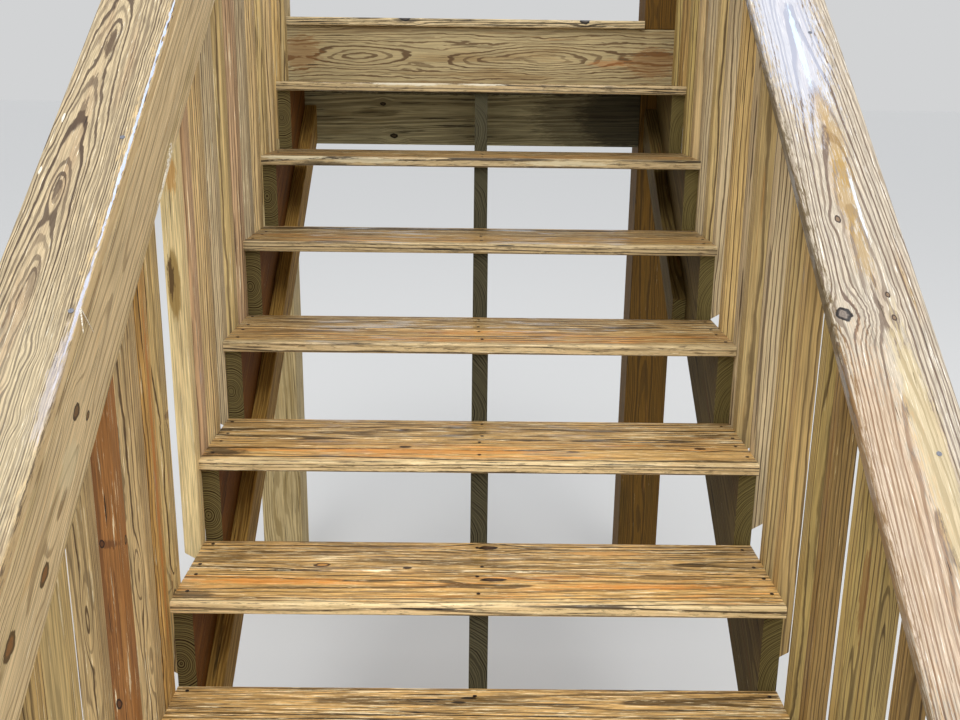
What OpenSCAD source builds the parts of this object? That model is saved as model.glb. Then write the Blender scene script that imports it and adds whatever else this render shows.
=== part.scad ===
// Wooden deck stairs with open risers, two baluster railings and the deck edge that they climb to.
// X runs across the stairs, Y runs up the flight, Z is up. All sizes are millimetres.
// The part stands on a level floor at z = 0 with its origin at the bottom centre of its box.

/* [Stairs] */
// Height from one tread top to the next
rise = 196; // [188:1:204]
// Distance from one tread front to the next
run = 266; // [255:1:275]
// Length of the treads from side to side
stair_width = 1216; // [1000:1:1400]
// Width of one of the two boards of a tread
tread_board_width = 140; // [139:0.5:146]
// Open gap between the two boards of a tread
tread_board_gap = 3; // [3:0.5:8]
// Thickness of tread boards, deck boards and cap rails
board_thickness = 25.4; // [22:0.2:32]
// Radius on the long edges of the boards
board_edge_radius = 5; // [2:0.5:8]

/* [Stringers] */
// Thickness of a stringer plank
stringer_thickness = 38; // [30:1:50]
// Depth of the stringer plank before the steps are cut
stringer_depth = 286; // [270:1:310]
// Depth of the stiffener strips along the outer stringers
stiffener_depth = 89; // [60:1:110]
// Thickness of the stiffener strips
stiffener_thickness = 38; // [30:1:50]
// How far the right strip reaches down the flight, measured level from the landing
right_strip_reach = 663; // [550:5:800]

/* [Deck edge] */
// Depth of rim, header and joists
joist_depth = 184; // [170:1:190]
// Thickness of rim, header and joists
joist_thickness = 38; // [30:1:45]
// Width of one deck board
deck_board_width = 140; // [120:1:150]
// Gap between deck boards
deck_board_gap = 3; // [3:0.5:8]
// Side of the square deck posts
post_size = 140; // [120:1:150]
// How far the deck posts rise above the top end of the higher rail
post_above_rail = 67; // [20:1:150]
// How far the left post stands outside the left stringer
left_post_outset = 22; // [10:1:40]
// How far the right post reaches inside the right tread ends
right_post_inset = 90; // [75:1:120]
// Space left around the posts in the deck boards
post_clearance = 2; // [1:0.5:5]

/* [Left rail] */
// Height of the left cap rail above the lowest tread front
left_rail_height = 970; // [940:1:985]
// Slope of the left rail in degrees
left_rail_angle = 37.4; // [37:0.1:37.6]
// Width of the left cap rail
left_cap_width = 140; // [120:1:160]
// Depth of the rail board under the left cap
left_sub_rail_depth = 140; // [130:1:150]

/* [Right rail] */
// Height of the right cap rail above the lowest tread front
right_rail_height = 737; // [715:1:770]
// Slope of the right rail in degrees
right_rail_angle = 37.8; // [37.4:0.1:38.2]
// Width of the right cap rail
right_cap_width = 165; // [140:1:185]
// Depth of the rail board under the right cap
right_sub_rail_depth = 89; // [60:1:110]

/* [Both rails] */
// Thickness of the rail boards and how far both caps reach in over the treads
sub_rail_thickness = 38; // [30:1:45]
// How far the rails run on past the lowest tread front
rail_overrun = 160; // [130:1:200]

/* [Balusters] */
// Side of a square baluster
baluster_size = 38; // [30:1:40]
// Average distance from one left baluster to the next
left_pitch = 117; // [105:0.5:135]
// Average distance from one right baluster to the next
right_pitch = 121; // [105:0.5:135]
// Full length of a left baluster
left_baluster_length = 1067; // [1055:1:1080]
// How far the left feet reach below the line of the tread fronts
left_foot_drop = 225; // [216:1:240]
// How far the right feet reach below the line of the tread fronts
right_foot_drop = 215; // [206:1:230]
// Angle of the cut under each baluster foot
foot_bevel = 31; // [10:1:40]

/* [Newels] */
// Side of the square newels at the bottom of the rails
newel_size = 89; // [80:1:100]
// How far the newels stand in front of the stringer feet
newel_front = 34; // [20:1:50]

/* [Hidden] */
$fn = 48;
cut = 10; // how far a cutting solid runs past what it cuts
cap_spare = 100; // how far a cap rail is drawn past each of its ends before they are cut plumb
steps = 9;
timber = [0.72, 0.60, 0.42];
tread_depth = 2 * tread_board_width + tread_board_gap;
nosing = tread_depth - run;
slope = rise / run;
slope_angle = atan(slope);
stair_half = stair_width / 2;
plank_rise = stringer_depth / cos(slope_angle);
strip_rise = stiffener_depth / cos(slope_angle);
landing_y = nosing + steps * run;
newel_y = nosing - newel_front;
newel_back = newel_y + newel_size;
deck_top = (steps + 1) * rise;
deck_under = deck_top - board_thickness;
rim_under = deck_under - joist_depth;
rim_back = landing_y + joist_thickness;
deck_front = steps * run;
deck_back = deck_front + 3 * deck_board_width + 2 * deck_board_gap;
left_post_x = -stair_half - left_post_outset - post_size;
right_post_x = stair_half - right_post_inset;
deck_left = left_post_x;
deck_right = right_post_x + post_size;
left_cap_x = -stair_half + sub_rail_thickness - left_cap_width;
right_cap_x = stair_half - sub_rail_thickness;
box_left = min(left_post_x, left_cap_x);
box_right = max(deck_right, right_cap_x + right_cap_width);
shift_x = -(box_left + box_right) / 2;
shift_y = -(deck_back - rail_overrun) / 2;
post_height = max(left_top(landing_y), right_top(landing_y)) + post_above_rail;
// fronts of the first balusters, and the room kept free before the deck board
left_first = 198;
right_first = 158;
last_room = 20;
left_count = floor((deck_front - last_room - baluster_size - left_first) / left_pitch) + 1;
right_count = floor((deck_front - last_room - baluster_size - right_first) / right_pitch) + 1;
// hand-nailed spacing: how far each baluster stands from its even place, from the bottom up
left_nudge = [0, -4, 4, 14, 22, -25, -58, 26, -20, -23, -25, -22, -19, -16, -13, -10, -7, 1, 4];
right_nudge = [0, -6, -2, -24, -6, -40, -14, -36, -9, 26, -35, -1, 13, 12, 11, 10, 14, 13, 2];
// small differences between the feet
foot_nudge = [0, 7, -4, 9, -7, 3];

// puts a piece into the part's own frame
module place() { translate([shift_x, shift_y, 0]) children(); }

// extrudes an outline drawn as [y, z] points from x to x + t
module side_plate(x, t, outline) {
  translate([x, 0, 0]) rotate([90, 0, 90]) linear_extrude(height = t) polygon(outline);
}

// outline of a board end with rounded edges
module board_end(w, t) {
  r = board_edge_radius;
  union() {
    translate([r, 0]) square([w - 2 * r, t]);
    translate([0, r]) square([w, t - 2 * r]);
    for (a = [r, w - r], b = [r, t - r]) translate([a, b]) circle(r = r);
  }
}

// flat board with rounded long edges, lying along X
module flat_board(x, y, z, length, width) {
  translate([x, y, z]) rotate([90, 0, 90])
    linear_extrude(height = length) board_end(width, board_thickness);
}

// height of the line through the tread fronts
function nose_line(y) = rise + y * slope;
// height of the lower edge of a stringer
function low_edge(y) = rise - board_thickness + (y - nosing) * slope - plank_rise;
heel_y = nosing + (plank_rise - rise + board_thickness) / slope;

function stringer_outline() = concat(
  [for (i = [0 : 2 * steps]) let (s = floor(i / 2))
    (i % 2 == 0) ? [nosing + s * run, s == 0 ? 0 : s * rise - board_thickness]
                 : [nosing + s * run, (s + 1) * rise - board_thickness]],
  [[landing_y, low_edge(landing_y)], [heel_y, 0]]);

// the left strip runs down to the floor, the right one stops part of the way down
function long_strip() = [
  [heel_y, 0], [landing_y, low_edge(landing_y)], [landing_y, low_edge(landing_y) + strip_rise],
  [heel_y - strip_rise / slope, 0]];
function short_strip() = let (start = landing_y - right_strip_reach) [
  [start, low_edge(start)], [landing_y, low_edge(landing_y)],
  [landing_y, low_edge(landing_y) + strip_rise], [start, low_edge(start) + strip_rise]];

module stringer(x) { color(timber) place() side_plate(x, stringer_thickness, stringer_outline()); }
module stringer_left() { stringer(-stair_half); }
module stringer_center() { stringer(-stringer_thickness / 2); }
module stringer_right() { stringer(stair_half - stringer_thickness); }
module stiffener(x, outline) { color(timber) place() side_plate(x, stiffener_thickness, outline); }
module stiffener_left() { stiffener(-stair_half + stringer_thickness, long_strip()); }
module stiffener_right() { stiffener(stair_half - stringer_thickness - stiffener_thickness, short_strip()); }

// one board of tread i, counted from the bottom, set back from the tread front by y
module tread_board(i, y) {
  color(timber) place() flat_board(-stair_half, (i - 1) * run + y, i * rise - board_thickness,
    stair_width, tread_board_width);
}
module tread_front(i) { tread_board(i, 0); }
module tread_back(i) { tread_board(i, tread_board_width + tread_board_gap); }

module header_board() {
  color(timber) place() translate([left_post_x + post_size, landing_y, rim_under - joist_depth])
    cube([right_post_x - left_post_x - post_size, joist_thickness, joist_depth]);
}
module rim_board() {
  color(timber) place() translate([deck_left, landing_y, rim_under])
    cube([deck_right - deck_left, joist_thickness, joist_depth]);
}
module joist(x) {
  color(timber) place() translate([x, rim_back, rim_under])
    cube([joist_thickness, deck_back - joist_thickness - rim_back, joist_depth]);
}
module joist_left() { joist(left_post_x + post_size); }
module joist_center() { joist((left_post_x + post_size + right_post_x - joist_thickness) / 2); }
module joist_right() { joist(right_post_x - joist_thickness); }
module back_joist() {
  color(timber) place() translate([deck_left, deck_back - joist_thickness, rim_under])
    cube([deck_right - deck_left, joist_thickness, joist_depth]);
}

module post_hole(x) {
  translate([x - post_clearance, deck_front - cut, deck_under - cut])
    cube([post_size + 2 * post_clearance, landing_y + post_size + post_clearance - deck_front + cut,
      board_thickness + 2 * cut]);
}
module deck_board(n) {
  color(timber) place() difference() {
    flat_board(deck_left, deck_front + n * (deck_board_width + deck_board_gap), deck_under,
      deck_right - deck_left, deck_board_width);
    if (n < 2) {
      post_hole(left_post_x);
      post_hole(right_post_x);
    }
    if (n == 0) {
      // the front board ends between the posts
      for (x = [deck_left - cut, deck_right - post_size / 2])
        translate([x, deck_front - cut, deck_under - cut])
          cube([post_size / 2 + cut, deck_board_width + 2 * cut, board_thickness + 2 * cut]);
    }
  }
}
module deck_board_front() { deck_board(0); }
module deck_board_middle() { deck_board(1); }
module deck_board_back() { deck_board(2); }

// deck post, notched over the rim board
module post(x) {
  color(timber) place() difference() {
    translate([x, landing_y, 0]) cube([post_size, post_size, post_height]);
    translate([x - cut, landing_y - cut, rim_under])
      cube([post_size + 2 * cut, joist_thickness + cut, joist_depth]);
  }
}
module post_left() { post(left_post_x); }
module post_right() { post(right_post_x); }

// height of the top and the underside of each cap rail
function left_top(y) = rise + left_rail_height + y * tan(left_rail_angle);
function left_under(y) = left_top(y) - board_thickness / cos(left_rail_angle);
function right_top(y) = rise + right_rail_height + y * tan(right_rail_angle);
function right_under(y) = right_top(y) - board_thickness / cos(right_rail_angle);

module newel_left() {
  color(timber) place() side_plate(-stair_half - newel_size, newel_size, [[newel_y, 0],
    [newel_back, 0], [newel_back, left_under(newel_back)], [newel_y, left_under(newel_y)]]);
}
module newel_right() {
  color(timber) place() side_plate(stair_half, newel_size, [[newel_y, 0],
    [newel_back, 0], [newel_back, right_under(newel_back)], [newel_y, right_under(newel_y)]]);
}

// cap rail laid flat on the slope, with plumb ends
module cap_rail(x, width, angle, top_at_zero) {
  length = (landing_y + rail_overrun) / cos(angle) + 2 * cap_spare;
  color(timber) place() intersection() {
    translate([x, -rail_overrun, top_at_zero - rail_overrun * tan(angle)]) rotate([angle, 0, 0])
      translate([0, length - cap_spare, -board_thickness]) rotate([90, 0, 0])
        linear_extrude(height = length) board_end(width, board_thickness);
    translate([x - cut, -rail_overrun, 0]) cube([width + 2 * cut, landing_y + rail_overrun, 2 * post_height]);
  }
}
module cap_rail_left() { cap_rail(left_cap_x, left_cap_width, left_rail_angle, left_top(0)); }
module cap_rail_right() { cap_rail(right_cap_x, right_cap_width, right_rail_angle, right_top(0)); }

module sub_rail_left() {
  drop = left_sub_rail_depth / cos(left_rail_angle);
  color(timber) place() side_plate(-stair_half, sub_rail_thickness, [
    [-rail_overrun, left_under(-rail_overrun)], [-rail_overrun, left_under(-rail_overrun) - drop],
    [landing_y, left_under(landing_y) - drop], [landing_y, left_under(landing_y)]]);
}
module sub_rail_right() {
  drop = right_sub_rail_depth / cos(right_rail_angle);
  start = newel_back;
  color(timber) place() side_plate(stair_half + baluster_size, sub_rail_thickness, [
    [start, right_under(start)], [start, right_under(start) - drop],
    [landing_y, right_under(landing_y) - drop], [landing_y, right_under(landing_y)]]);
}

// one left baluster: square top behind the rail board, bevelled foot with the inner side lower
module baluster_left(y, lift) {
  tip = nose_line(y) - left_foot_drop + lift;
  out = baluster_size * tan(foot_bevel);
  translate([0, y + baluster_size, 0]) rotate([90, 0, 0]) linear_extrude(height = baluster_size)
    polygon([[-stair_half, tip], [-stair_half, tip + left_baluster_length],
      [-stair_half - baluster_size, tip + left_baluster_length], [-stair_half - baluster_size, tip + out]]);
}

// one right baluster: its top is cut along the underside of the cap rail
module baluster_right(y, lift) {
  tip = nose_line(y) - right_foot_drop + lift;
  out = baluster_size * tan(foot_bevel);
  top = right_under(y + baluster_size) + cut;
  intersection() {
    translate([0, y + baluster_size, 0]) rotate([90, 0, 0]) linear_extrude(height = baluster_size)
      polygon([[stair_half, tip], [stair_half, top], [stair_half + baluster_size, top],
        [stair_half + baluster_size, tip + out]]);
    side_plate(stair_half - cut, baluster_size + 2 * cut, [[y - cut, tip - cut],
      [y + baluster_size + cut, tip - cut], [y + baluster_size + cut, right_under(y + baluster_size + cut)],
      [y - cut, right_under(y - cut)]]);
  }
}

module balusters_left() {
  color(timber) place() for (i = [0 : left_count - 1])
    baluster_left(left_first + i * left_pitch + left_nudge[i % len(left_nudge)], foot_nudge[i % 6]);
}
module balusters_right() {
  color(timber) place() for (i = [0 : right_count - 1])
    baluster_right(right_first + i * right_pitch + right_nudge[i % len(right_nudge)],
      foot_nudge[(i + 2) % 6]);
}

stringer_left();
stringer_center();
stringer_right();
stiffener_left();
stiffener_right();
tread_front(1);  // tread_1_front
tread_back(1);  // tread_1_back
tread_front(2);  // tread_2_front
tread_back(2);  // tread_2_back
tread_front(3);  // tread_3_front
tread_back(3);  // tread_3_back
tread_front(4);  // tread_4_front
tread_back(4);  // tread_4_back
tread_front(5);  // tread_5_front
tread_back(5);  // tread_5_back
tread_front(6);  // tread_6_front
tread_back(6);  // tread_6_back
tread_front(7);  // tread_7_front
tread_back(7);  // tread_7_back
tread_front(8);  // tread_8_front
tread_back(8);  // tread_8_back
tread_front(9);  // tread_9_front
tread_back(9);  // tread_9_back
header_board();
rim_board();
joist_left();
joist_center();
joist_right();
back_joist();
deck_board_front();
deck_board_middle();
deck_board_back();
post_left();
post_right();
newel_left();
newel_right();
balusters_left();
balusters_right();
sub_rail_left();
sub_rail_right();
cap_rail_left();
cap_rail_right();
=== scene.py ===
"""Looks of the wooden deck stairs: wet, pressure-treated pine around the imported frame."""

import logging
import math
import random
from dataclasses import dataclass, field, replace
from enum import Enum

import bmesh
import bpy
from mathutils import Euler, Matrix, Vector

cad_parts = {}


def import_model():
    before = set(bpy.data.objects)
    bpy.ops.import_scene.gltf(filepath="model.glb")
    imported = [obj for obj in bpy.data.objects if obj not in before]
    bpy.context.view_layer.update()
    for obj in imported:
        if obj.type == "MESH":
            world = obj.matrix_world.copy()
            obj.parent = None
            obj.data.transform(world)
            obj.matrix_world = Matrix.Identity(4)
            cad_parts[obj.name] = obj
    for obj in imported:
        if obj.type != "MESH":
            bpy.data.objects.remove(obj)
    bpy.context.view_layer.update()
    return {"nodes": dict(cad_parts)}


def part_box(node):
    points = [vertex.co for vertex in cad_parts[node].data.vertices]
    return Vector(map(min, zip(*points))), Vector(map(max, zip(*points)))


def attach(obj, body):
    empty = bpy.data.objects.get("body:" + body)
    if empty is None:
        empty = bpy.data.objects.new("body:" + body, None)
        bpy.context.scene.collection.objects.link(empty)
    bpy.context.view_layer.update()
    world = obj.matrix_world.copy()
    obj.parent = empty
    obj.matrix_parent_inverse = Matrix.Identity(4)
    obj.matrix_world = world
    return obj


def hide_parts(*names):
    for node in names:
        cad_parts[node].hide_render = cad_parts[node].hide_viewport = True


LOG = logging.getLogger("deck_stairs")

# The stairs' own point of reference is the middle of the top tread's front edge.
TOP_TREAD_FRONT = Vector((0.0175, 0.798, 1.764))
# Slopes of the flight and of the two rails, in degrees.
FLIGHT_SLOPE, LEFT_SLOPE, RIGHT_SLOPE = 36.384, 37.4, 37.8
# How high the top of each tread lies, by its number from the floor up, in metres.
RISE = 0.196
TOP = {number: number * RISE for number in range(1, 10)}
# Where the lowest riser would stand; the rails' heights are told there.
FOOT_Y = -1.330
# The faces that the eye meets first: the left rail's inner side, and the front of the rim and the header.
RAIL_FACE_X, RIM_FACE_Y = -0.5525, 1.081

Socket = bpy.types.NodeSocket
Feed = Socket | float | tuple | Vector
Spot = tuple[float, float, float]

# A soft step instead of a straight one, for the nodes that turn a value into a mask.
SMOOTH = {"interpolation_type": "SMOOTHSTEP"}
# Nearly all of a noise lies between these values.
NOISE_LOW, NOISE_HIGH = 0.29, 0.71


def linear(tone: str) -> tuple[float, float, float, float]:
    """Turns an sRGB hex value into a linear colour.

    Args:
        tone: six hex digits.

    Returns:
        The linear colour with full alpha.
    """
    parts = [int(tone[i : i + 2], 16) / 255 for i in (0, 2, 4)]
    # The standard curve: a straight foot, and a power above it.
    curve = [c / 12.92 if c <= 0.04045 else ((c + 0.055) / 1.055) ** 2.4 for c in parts]
    return (*curve, 1.0)


def add(tree: bpy.types.NodeTree, kind: str, feeds: dict[int | str, Feed], out: int | str = 0,
        **settings: object) -> Socket:
    """Adds a shader node with its settings and links.

    Args:
        tree: the material's node tree.
        kind: the node's type without its ShaderNode prefix.
        feeds: what goes into each input, a socket or a plain value.
        out: the output that is handed back.
        **settings: the node's own settings.

    Returns:
        The chosen output.
    """
    node = tree.nodes.new("ShaderNode" + kind)
    for key, value in settings.items():
        setattr(node, key, value)
    for key, feed in feeds.items():
        if isinstance(feed, Socket):
            tree.links.new(feed, node.inputs[key])
        else:
            node.inputs[key].default_value = feed
    return node.outputs[out]


class Lie(Enum):
    """Which way a board's length runs, as the turn that lays it along X, in degrees."""

    ACROSS = (0.0, 0.0, 0.0)
    ALONG = (0.0, 0.0, -90.0)
    UPRIGHT = (0.0, 90.0, 0.0)
    FLIGHT = (-FLIGHT_SLOPE, 0.0, -90.0)
    LEFT_RAIL = (-LEFT_SLOPE, 0.0, -90.0)
    RIGHT_RAIL = (-RIGHT_SLOPE, 0.0, -90.0)

    def turn(self) -> Matrix:
        """Gives the rotation that lays the board along X."""
        return Euler([math.radians(a) for a in self.value]).to_matrix()


@dataclass(frozen=True)
class RailTop:
    """The sloping top of a cap rail, on which its branches, marks and nails are placed.

    Attributes:
        foot: how high it lies over the lowest riser, in metres.
        slope: how steeply it rises, in degrees.
    """

    foot: float
    slope: float

    def at(self, x: float, y: float, drop: float = 0.0) -> Spot:
        """Gives the point of the top, or of the side this far below it, over a place on the floor."""
        return (x, y, self.foot + (y - FOOT_Y) * math.tan(math.radians(self.slope)) - drop)


LEFT_TOP = RailTop(1.166, LEFT_SLOPE)
RIGHT_TOP = RailTop(0.933, RIGHT_SLOPE)


@dataclass(frozen=True)
class Knot:
    """A branch that the board was cut through.

    Attributes:
        spot: where it shows, in the row frame, in metres.
        radius: half of its width, in metres.
        stretch: how much longer than wide it is, along the grain.
        heart: colour of its middle.
        rim: colour of the bark around it.
    """

    spot: Spot
    radius: float = 0.009
    stretch: float = 1.5
    heart: str = "7a5530"
    rim: str = "2e2014"


@dataclass(frozen=True)
class Mark:
    """A patch of another colour: a chip, a stain, mould or a wet streak, or painted light and shade: a
    painted highlight, reflection or shadow.

    Attributes:
        spot: its middle, in the row frame, in metres.
        size: half of its length along the grain and half of its width, in metres.
        tone: its colour.
        share: how far it hides the wood.
        wet: how much water stands on it.
        ragged: how far its border wanders, as a share of its size.
    """

    spot: Spot
    size: tuple[float, float]
    tone: str
    share: float = 0.7
    wet: float = 0.0
    ragged: float = 1.2


@dataclass(frozen=True)
class Swell:
    """A place where the trunk bulged, so that a flat-sawn face shows its rings as closed ovals.

    Attributes:
        spot: its middle, in the row frame, in metres.
        size: half of its length along the grain and half of its width, in metres.
        rise: how far the rings are pushed out, in metres.
    """

    spot: Spot
    size: tuple[float, float]
    rise: float


Flaw = Knot | Mark | Swell


@dataclass(frozen=True)
class Grain:
    """How one board was cut from the tree, and what happened to it.

    Attributes:
        lie: which way its length runs.
        heart: from the board's centre to the heart of the tree, across and through, in metres.
        tilt: how fast the heart leaves the board, in metres a metre.
        ring: width of a year's growth, in metres.
        bend: how far the rings wander, in metres.
        curl: how much stronger than usual the short waves in them are.
        seed: picks the board's own pattern.
        fade: painted light and shade, as a factor of its colour's brightness: above one where the board lies
            in the open, below one where it lies in shade.
        knots: its branches.
        marks: its stains and chips, and its painted highlights, reflections and shadows.
        swells: its ovals.
    """

    lie: Lie
    heart: tuple[float, float] = (0.02, -0.09)
    tilt: float = 0.02
    ring: float = 0.0045
    bend: float = 0.010
    curl: float = 1.0
    seed: float = 0.0
    fade: float = 1.0
    knots: tuple[Knot, ...] = ()
    marks: tuple[Mark, ...] = ()
    swells: tuple[Swell, ...] = ()

    def frame(self, centre: Vector) -> tuple[Matrix, Vector]:
        """Gives the turn and shift that put the heart of the tree on the X axis.

        Args:
            centre: the board's centre in the row frame.

        Returns:
            The rotation, and the shift that follows it.
        """
        turn = Matrix.Rotation(self.tilt, 3, "Y") @ self.lie.turn()
        return turn, -(turn @ centre) - Vector((0.0, *self.heart))


@dataclass(frozen=True)
class Pine:
    """Pressure-treated southern pine, planed and then weathered: soft pale wood, hard brown lines.

    Attributes:
        early: colour of the wide soft part of each ring.
        early_alt: a second tone that it drifts to along the board.
        late: colour of the narrow hard part of each ring.
        warm: colour of the resin-rich patches.
        pale: colour of fibres that wear has laid bare.
        stain: colour of water marks and mould.
        end: colour of cut ends, where the fibres drink.
        contrast: how strongly the hard lines show.
        band: share of a ring that is hard.
        warmth: share of the surface that resin-rich patches cover.
        streaked: share of the surface that bare pale fibres cover.
        stained: share of the surface that water marks cover.
        cracked: share of the surface that thin drying cracks cover.
        wet: share of the surface under a film of water.
        rough: roughness of the wood between the wet places.
        shine: specular level of the wood.
        relief: height that the hard lines stand proud, in metres.
        fibre: how strongly single fibres show.
        worn: how far short torn fibres, pale, and pits between them, dark, cover the rest.
        coarse: how much wider than life fibres, streaks and cracks are drawn, so that they show from afar.
    """

    early: str
    early_alt: str
    late: str
    warm: str = "c98c48"
    pale: str = "ecd9a8"
    stain: str = "4a3a22"
    end: str = "6e5c38"
    contrast: float = 0.75
    band: float = 0.5
    warmth: float = 0.1
    streaked: float = 0.1
    stained: float = 0.2
    cracked: float = 0.05
    wet: float = 0.3
    rough: float = 0.6
    shine: float = 0.4
    relief: float = 0.0006
    fibre: float = 0.3
    worn: float = 0.0
    coarse: float = 1.0

    def dress(self, name: str, grain: Grain, centre: Vector, front: float | None = None,
              own: bool = False) -> bpy.types.Material:
        """Makes the board's material.

        Args:
            name: the material's name.
            grain: how the board was cut.
            centre: the board's centre in the row frame.
            front: y of a worn front edge, or None where there is none.
            own: whether place and colour come from the piece's own attributes.

        Returns:
            The new material.
        """
        material = bpy.data.materials.new(name)
        material.use_nodes = True
        turn, shift = grain.frame(centre)
        Weave(material.node_tree, self, grain, turn, shift, own).draw(front)
        return material


@dataclass(frozen=True)
class Pattern:
    """Noise that is drawn out along the board, and the patches that it makes.

    Attributes:
        cell: length and width of its cells, in metres.
        offset: keeps it apart from the board's other noise.
        detail: how many finer layers it has.
        rough: how strong these are.
        soft: how soft the borders of its patches are, in the noise's own value.
        hides: how far its patches hide what is under them.
    """

    cell: tuple[float, float]
    offset: float
    detail: float = 3.0
    rough: float = 0.6
    soft: float = 0.1
    hides: float = 1.0

    def wider(self, factor: float) -> "Pattern":
        """Draws it this many times wider."""
        length, width = self.cell
        return replace(self, cell=(length, width * factor))


# What bends the year rings: the trunk's own sweep, waves of a hand's width, and short ripples.
SWEEP = Pattern((0.55, 0.12), 0.0, 2.0, 0.45)
WAVES = Pattern((0.09, 0.017), 3.7, 2.0, 0.45)
RIPPLES = Pattern((0.02, 0.006), 5.1, 2.0, 0.45)
# Real fibres are some 0.05 mm thick. These are 1.5 mm wide or more, and torn ones 1.8 mm, so that they show.
FIBRES = Pattern((0.11, 0.0015), 0.0)
TORN = Pattern((0.055, 0.0018), 3.3, 4.0, 0.7)
# Colour that lies over the rings, from broad drifts to threads and cracks, these drawn 2 mm wide or more.
DRIFT = Pattern((0.45, 0.045), 8.1, soft=0.2)
RESIN = Pattern((0.30, 0.020), 4.4, soft=0.14, hides=0.75)
THREADS = Pattern((0.13, 0.0028), 6.6, 5.0, 0.7, 0.06, 0.85)
DAMP = Pattern((0.20, 0.011), 1.3, 5.0, soft=0.12, hides=0.75)
CRACKS = Pattern((0.22, 0.0024), 2.9, 2.0, 0.5, 0.03)
WATER = Pattern((0.14, 0.033), 2.2)
# What makes the borders of marks and of worn fronts ragged, and the pits where fibres broke out.
BORDERS = Pattern((0.030, 0.0032), 7.3, 4.0, 0.7)
TRODDEN = Pattern((0.11, 0.006), 9.4, 4.0, 0.65)
PITS = Pattern((0.045, 0.0045), 5.9, 5.0, 0.7, 0.06, 0.8)
# Cracks look nearly black, since hardly any light comes back out of them.
CRACK_TONE = "24190c"


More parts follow.
